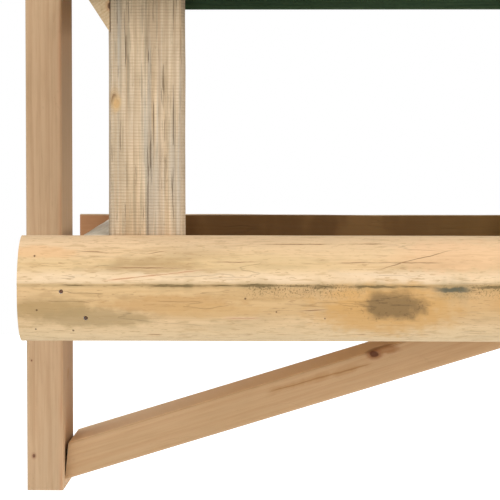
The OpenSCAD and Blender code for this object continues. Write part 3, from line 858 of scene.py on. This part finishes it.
# %% Sizes of the logs, in mm, from the CAD model
RAIL_D, RAIL_T, RAIL_Z = 80, 47, -167
POST_D, POST_T, POST_H, FLOOR_Z = 59, 42, 248, -170
BACK, FRONT, SIDE = 75, 455, 175
ROOF_SLOPE = math.tan(math.radians(30))


def shift(x, y, z):
    """A move, given in mm."""
    return Matrix.Translation(Vector((x, y, z)) * MM)


def quarter_turns(count):
    """A turn about the upright axis."""
    return Matrix.Rotation(count * math.pi / 2, 4, "Z")


def smooth(piece, limit):
    """Shade a piece smoothly, but keep the edges crisp that turn by more degrees."""
    piece.data.shade_smooth()
    piece.data.set_sharp_from_angle(angle=math.radians(limit))


def finish_piece(piece, slot_name, name, note):
    """Hand a piece to the frame: it rides and replaces its CAD node."""
    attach(piece, "root")
    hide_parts(name)
    print(piece.name, len(piece.data.polygons), "faces,", note)


# %% [markdown]
# ## Holes for screws and nails
# A screw or nail in a log sits at the bottom of a small hole. The holes are cut with a
# boolean from the finished log, at the places of the CAD model's own fasteners, which are
# measured here so that no place is written twice. Every fastener is a body of
# revolution: its long direction is its axis, and its widest end is its head.

# %% Measure the fasteners
# points this near to a fastener's end belong to it
END_REACH = 0.55 * MM


def joined_shell(name):
    """A CAD node's mesh with its equal points joined, to work on."""
    shell = bmesh.new()
    shell.from_mesh(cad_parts[name].data)
    bmesh.ops.remove_doubles(shell, verts=shell.verts, dist=0.01 * MM)
    return shell


def islands(name):
    """The separate solids of a CAD node, each as a list of points."""
    shell = joined_shell(name)
    left, found = set(shell.verts), []
    while left:
        stack = [left.pop()]
        group = []
        while stack:
            point = stack.pop()
            group.append(point.co.copy())
            for edge in point.link_edges:
                other = edge.other_vert(point)
                if other in left:
                    left.discard(other)
                    stack.append(other)
        found.append(group)
    shell.free()
    return sorted(found, key=lambda points: tuple(round(v, 4) for v in sum(points, Vector())))


def box_of(points):
    """The lowest and the highest corner of some points' box."""
    return [Vector([pick(p[i] for p in points) for i in range(3)]) for pick in (min, max)]


def middle(points):
    """The middle of some points' box."""
    low, high = box_of(points)
    return (low + high) / 2


def spread(points):
    """The greatest distance of some points from their middle."""
    centre = middle(points)
    return max((p - centre).length for p in points)


def measured(name):
    """(head's centre, outward direction, length) of each fastener of a CAD node."""
    spots = []
    for points in islands(name):
        far = max(points, key=lambda p: (p - points[0]).length)
        other = max(points, key=lambda p: (p - far).length)
        axis = (other - far).normalized()
        steps = [(p - far).dot(axis) for p in points]
        low, high = min(steps), max(steps)
        ends = ([p for p, step in zip(points, steps) if step < low + END_REACH],
                [p for p, step in zip(points, steps) if step > high - END_REACH])
        tip, head = sorted(ends, key=spread)
        outwards = (middle(head) - middle(tip)).normalized()
        top = max((p - middle(tip)).dot(outwards) for p in head)
        spots.append((middle(tip) + outwards * top, outwards, high - low))
    return spots


FASTENERS = {name: measured(name) for name in (
    "plank_screws", "corner_nails", "ledger_screws", "cleat_screws", "brace_head_screws",
    "post_screws", "floor_nails", "gable_screws", "ridge_nails", "roof_nails_wall",
    "roof_nails_front", "ridge_cap_nails")}
print("fasteners:", {name: len(spots) for name, spots in FASTENERS.items()})

# %% Drill
HOLE_LONG, HOLE_FLOOR = 12 * MM, -0.3 * MM


def drill(piece, spots, radius):
    """Cut a round hole outwards from each head that lies in the piece."""
    low, high = box_of([v.co for v in piece.data.vertices])
    near = [s for s in spots if all(low[i] - MM < s[0][i] < high[i] + MM for i in range(3))]
    if not near:
        return 0
    tool = bmesh.new()
    for head, outwards, _ in near:
        centre = Matrix.Translation(head + outwards * (HOLE_LONG / 2 + HOLE_FLOOR))
        turned = outwards.to_track_quat("Z", "Y").to_matrix().to_4x4()
        bmesh.ops.create_cone(tool, cap_ends=True, segments=20, radius1=radius, radius2=radius,
                              depth=HOLE_LONG, matrix=centre @ turned)
    mesh = bpy.data.meshes.new("cutter")
    tool.to_mesh(mesh)
    tool.free()
    cutter = linked("cutter", mesh)
    cut = piece.modifiers.new("holes", "BOOLEAN")
    cut.operation, cut.solver, cut.object = "DIFFERENCE", "EXACT", cutter
    plain_mesh(piece)
    bpy.data.objects.remove(cutter)
    return len(near)


# %% [markdown]
# ## The four rails
# The side rails run past the front and back rails, and the back rail has a shallow flat
# seat where it bears on the plank. Each is grown with its flat side on its own plane and
# then turned to its side of the tray. The near rail is peeled more finely than the others
# and has a small ledge along its middle, as the photograph shows.

# %% Rails
# the nails at the tray's corners are punched below the wood, so their heads are moved in
CORNER_PUNCH, CORNER_HEAD, HEAD_ROOM = 2 * MM, 1.45 * MM, 0.15 * MM
corner_heads = [(head - outwards * CORNER_PUNCH, outwards, long)
                for head, outwards, long in FASTENERS["corner_nails"]]
SEAT_HALF, PLANK_FRONT = 48.5 * MM, 29 * MM
half_turn = Matrix.Rotation(math.pi, 4, "X")
# name, length in mm, move, turn, look, axis of the grain, marks
RAILS = (
    ("left_rail", 508, shift(11, -SIDE, RAIL_Z), Matrix(), PEELED, ALONG_X, near_rail_marks),
    ("right_rail", 495, shift(24, SIDE, RAIL_Z), half_turn, PEELED, ALONG_X, far_rail_marks),
    ("wall_rail", 350, shift(BACK, SIDE, RAIL_Z), quarter_turns(-1), GREYED, ALONG_Y, None),
    ("front_rail", 350, shift(FRONT, -SIDE, RAIL_Z), quarter_turns(1), PEELED, ALONG_Y, None),
)
FINER = {"left_rail": {"Points_Around": 120, "Peeling": 0.25 * MM, "Ledge_Height": 5 * MM,
                       "Ledge_Depth": 0.9 * MM}}
for seed, (name, length, move, turn, kind, along, marks) in enumerate(RAILS, 1):
    rail = grow(half_log, name + "_log", Length=length * MM, Diameter=RAIL_D * MM,
                Thickness=RAIL_T * MM, Seed=seed * 3.7,
                Material=wood(name, kind, along, (0, 9, 3), seed, marks),
                **FINER.get(name, {}))
    rail.data.transform(move @ turn)
    if name == "wall_rail":
        for v in rail.data.vertices:
            if abs(v.co.y) < SEAT_HALF:
                v.co.x = max(v.co.x, PLANK_FRONT)
    holes = drill(rail, corner_heads, CORNER_HEAD + HEAD_ROOM)
    smooth(rail, 32)
    finish_piece(rail, kind.slot, name, f"{holes} holes")

# %% [markdown]
# ## The four posts
# The posts stand on the floor in a pinwheel, each turned a quarter from the last, with the
# sawn side out. Their tops follow the roof's slope, which the tree's End Slope inputs give.

# %% Posts
POST_HOLE = 4.3 * MM
upright = Matrix(((0, 0, 1, 0), (0, -1, 0, 0), (1, 0, 0, 0), (0, 0, 0, 1)))
POSTS = (("post_left_wall", BACK, -SIDE), ("post_left_front", FRONT, -SIDE),
         ("post_right_front", FRONT, SIDE), ("post_right_wall", BACK, SIDE))
for index, (name, x, y) in enumerate(POSTS):
    marks = post_marks if index else first_post_marks
    if index % 2:
        length, slopes = POST_H, {"End_Slope_Y": -ROOF_SLOPE}
    else:
        length, slopes = POST_H + POST_D / 2 * ROOF_SLOPE, {"End_Slope_Z": ROOF_SLOPE}
    post = grow(half_log, name + "_log", Length=length * MM, Diameter=POST_D * MM,
                Thickness=POST_T * MM, Points_Around=60, Points_Along=60, Peeling=0.9 * MM,
                Seed=31 + 2.3 * index, **slopes,
                Material=wood(name, SAWN, ALONG_Z, (0, 6, -4), 20 + index, marks))
    post.data.transform(shift(x, y, 0) @ quarter_turns(index) @ shift(POST_D / 2, 0, FLOOR_Z)
                        @ upright)
    holes = drill(post, FASTENERS["post_screws"], POST_HOLE)
    smooth(post, 32)
    finish_piece(post, SAWN.slot, name, f"{holes} holes")

# %% [markdown]
# ## Boards
# The planks, strips, floor, battens and roof boards are right as the CAD model has them,
# with every countersink and nail hole. Real boards have no knife edges, though. Each is
# copied, its triangles are joined back into flat faces, and its long edges are broken with
# a small bevel. Only long edges are bevelled, because the short ones are the rims of holes.

# %% Board with broken edges
FLAT, SHARP = math.radians(1), math.radians(35)
SHORTEST_EDGE = 9 * MM


def softened(name, bevel):
    """A copy of a CAD board with its long edges bevelled by a width in mm."""
    shell = joined_shell(name)
    bmesh.ops.dissolve_limit(shell, angle_limit=FLAT, verts=shell.verts, edges=shell.edges)
    edges = [e for e in shell.edges if len(e.link_faces) == 2
             and e.calc_length() > SHORTEST_EDGE and e.calc_face_angle() > SHARP]
    bmesh.ops.bevel(shell, geom=edges, offset=bevel * MM, offset_type="OFFSET", segments=2,
                    profile=0.55, affect="EDGES", clamp_overlap=True)
    mesh = bpy.data.meshes.new(name + "_board")
    shell.to_mesh(mesh)
    shell.free()
    return linked(name + "_board", mesh), len(edges)


# %% Boards
# the wall batten's left end is scribed to the round of the post that it meets
SCRIBED, SCRIBED_BEYOND = 2.2 * MM, 72 * MM
EAVE_BEVEL = 0.5
BRACE_RISE = math.radians(17)
up_brace = (math.cos(BRACE_RISE), 0, math.sin(BRACE_RISE))
MARKS = {"back_plank": plank_marks, "brace": brace_marks, "eave_batten_wall": batten_marks}
# name, look, axis of the grain, y and z of the pith from the board's middle, in mm
BOARDS = [
    ("back_plank", PLANED, ALONG_Z, 14, 62),
    ("brace", PLANED, up_brace, 10, -55),
    ("brace_cleat", STRIP, ALONG_Y, 20, -40),
    ("left_ledger", STRIP, ALONG_X, -24, 30),
    ("right_ledger", STRIP, ALONG_X, 30, 26),
    ("eave_batten_wall", STRIP, ALONG_Y, 25, 34),
    ("eave_batten_front", STRIP, ALONG_Y, -25, 34),
    ("ridge_batten", STRIP, ALONG_Y, 12, -30),
]
draws = random.Random(7)
BOARDS += [(f"floor_board_{row}", STRIP, ALONG_X, draws.uniform(-25, 25),
            draws.choice((-1, 1)) * draws.uniform(25, 60)) for row in range(1, 6)]
for side in ("wall", "front"):
    BOARDS += [(f"roof_board_{side}_{row}", GREEN, ALONG_Y, draws.uniform(-25, 25),
                -draws.uniform(35, 80)) for row in range(1, 4)]
    BOARDS.append((f"ridge_cap_{side}", GREEN, ALONG_Y, draws.uniform(-15, 15),
                   -draws.uniform(35, 60)))
BOARDS += [(f"{side}_gable_{level}", GREEN, ALONG_X, draws.uniform(-60, 60),
            draws.uniform(-25, 25)) for side in ("left", "right") for level in ("lower", "upper")]
for seed, (name, kind, along, pith_y, pith_z) in enumerate(BOARDS, 40):
    board, edges = softened(name, EAVE_BEVEL if name.startswith("eave") else kind.bevel)
    if name == "eave_batten_wall":
        for v in board.data.vertices:
            if v.co.y < 0 and v.co.x > SCRIBED_BEYOND:
                v.co.x += SCRIBED
    board.data.materials.clear()
    board.data.materials.append(
        wood(name, kind, along, (0, pith_y, pith_z), seed, MARKS.get(name)))
    finish_piece(board, kind.slot, name, f"{edges} edges")

# %% [markdown]
# ## Screws and nails
# A screw has a countersunk head with a cross recess, and a lost-head nail has a small,
# slightly domed head. One tree makes one fastener and sets a copy on each point of a
# mesh, turned to the point's own direction and spun by a fixed random angle. The points
# and directions are those measured from the CAD model.

# %% Parts of a fastener
def moved(shape, **feeds):
    """A shape after a Transform node."""
    return node(shape.tree, "GeometryNodeTransform", {0: shape, **feeds}, 0)


def cone(tree, top, bottom, depth):
    """A round, slightly faceted cone or disc that stands on the origin."""
    feeds = {"Vertices": 24, "Radius Top": top, "Radius Bottom": bottom, "Depth": depth}
    return node(tree, "GeometryNodeMeshCone", feeds, "Mesh")


def recessed(head, head_radius):
    """A screw's head with a cross recess for the driver."""
    size = (head_radius * 1.25, 0.85 * MM, 3 * MM)
    slots = [moved(node(head.tree, "GeometryNodeMeshCube", {"Size": size}, "Mesh"),
                   Rotation=(0, 0, turn)) for turn in (0, math.pi / 2)]
    cut = node(head.tree, "GeometryNodeMeshBoolean", {0: head}, operation="DIFFERENCE")
    for slot in slots:
        plug(slot, cut.inputs[1])
    return outputs(cut)["Mesh"]


# %% Tree: fasteners at points
def fastener_tree(name, head_radius, head_height, shank_radius, countersunk):
    """A tree that sets one kind of fastener on points that have a direction, aim."""
    tree, given, result = geometry_tree(name, {"Length": 0.04, "Seed": 7, "Material": None})
    head = cone(tree, head_radius, shank_radius if countersunk else head_radius, head_height)
    head = moved(head, Translation=(0, 0, -head_height))
    if countersunk:
        solids = [recessed(head, head_radius)]
    else:
        solids = [head, cone(tree, head_radius * 0.72, head_radius, 0.3 * MM)]
    shank_long = given["Length"] - head_height
    shank = node(tree, "GeometryNodeMeshCylinder", {
        "Vertices": 12, "Radius": shank_radius, "Depth": shank_long}, "Mesh")
    drop = calc("MULTIPLY_ADD", shank_long, -0.5, -head_height)
    solids.append(moved(shank, Translation=combine(Z=drop)))
    whole = node(tree, "GeometryNodeJoinGeometry")
    for solid in solids:
        plug(solid, whole.inputs[0])
    direction = node(tree, "GeometryNodeInputNamedAttribute", {"Name": "aim"}, 0,
                     data_type="FLOAT_VECTOR")
    turned = node(tree, "FunctionNodeAlignRotationToVector", {"Vector": direction}, 0, axis="Z")
    spin = node(tree, "FunctionNodeRandomValue", {"Seed": given["Seed"]}, 1, data_type="FLOAT")
    spun = node(tree, "FunctionNodeRotateRotation", {
        0: turned, 1: combine(Z=spin * (2 * math.pi))}, 0, rotation_space="LOCAL")
    copies = node(tree, "GeometryNodeInstanceOnPoints", {
        "Points": given["Geometry"], "Instance": outputs(whole)["Geometry"],
        "Rotation": spun}, 0)
    end_tree(copies, given["Material"], result)
    return tree


# material, slot, and tree with the head's radius and height and the shank's radius
SCREW = (zinc, "screw_steel", fastener_tree(
    "countersunk screws at points", 4 * MM, 2 * MM, 2 * MM, countersunk=True))
NAIL = (nail_steel, "nail_steel", fastener_tree(
    "lost-head nails at points", 2.25 * MM, 1.2 * MM, 1.4 * MM, countersunk=False))
PUNCHED_NAIL = (punched_steel, "nail_steel", fastener_tree(
    "small nails at points", CORNER_HEAD, 1.2 * MM, 1.2 * MM, countersunk=False))
print("fastener trees:", ", ".join(kind[2].name for kind in (SCREW, NAIL, PUNCHED_NAIL)))


# %% Screws and nails
def point_cloud(name, spots):
    """A mesh of bare points that carry their fasteners' directions."""
    mesh = bpy.data.meshes.new(name + "_points")
    mesh.from_pydata([spot[0] for spot in spots], [], [])
    aims = mesh.attributes.new("aim", "FLOAT_VECTOR", "POINT")
    for point, spot in zip(aims.data, spots):
        point.vector = spot[1]
    return mesh


for seed, (name, spots) in enumerate(FASTENERS.items(), 11):
    material, slot_name, tree = SCREW if name.endswith("screws") else NAIL
    if name == "corner_nails":
        spots = corner_heads
        material, slot_name, tree = PUNCHED_NAIL
    group = grow(tree, name + "_made", point_cloud(name, spots), Length=spots[0][2],
                 Seed=seed, Material=material)
    smooth(group, 30)
    finish_piece(group, slot_name, name, f"{len(spots)} of them")


# %% [markdown]
# ## Sizes
# The dressed model has to stay inside the CAD model's box, so both boxes are measured
# and printed.

# %% Sizes
model_low, model_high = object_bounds()
sizes = {"cad": [list(cad_low), list(cad_high)], "model": [list(model_low), list(model_high)]}
print("model box", [round(v, 4) for v in (*model_low, *model_high)])
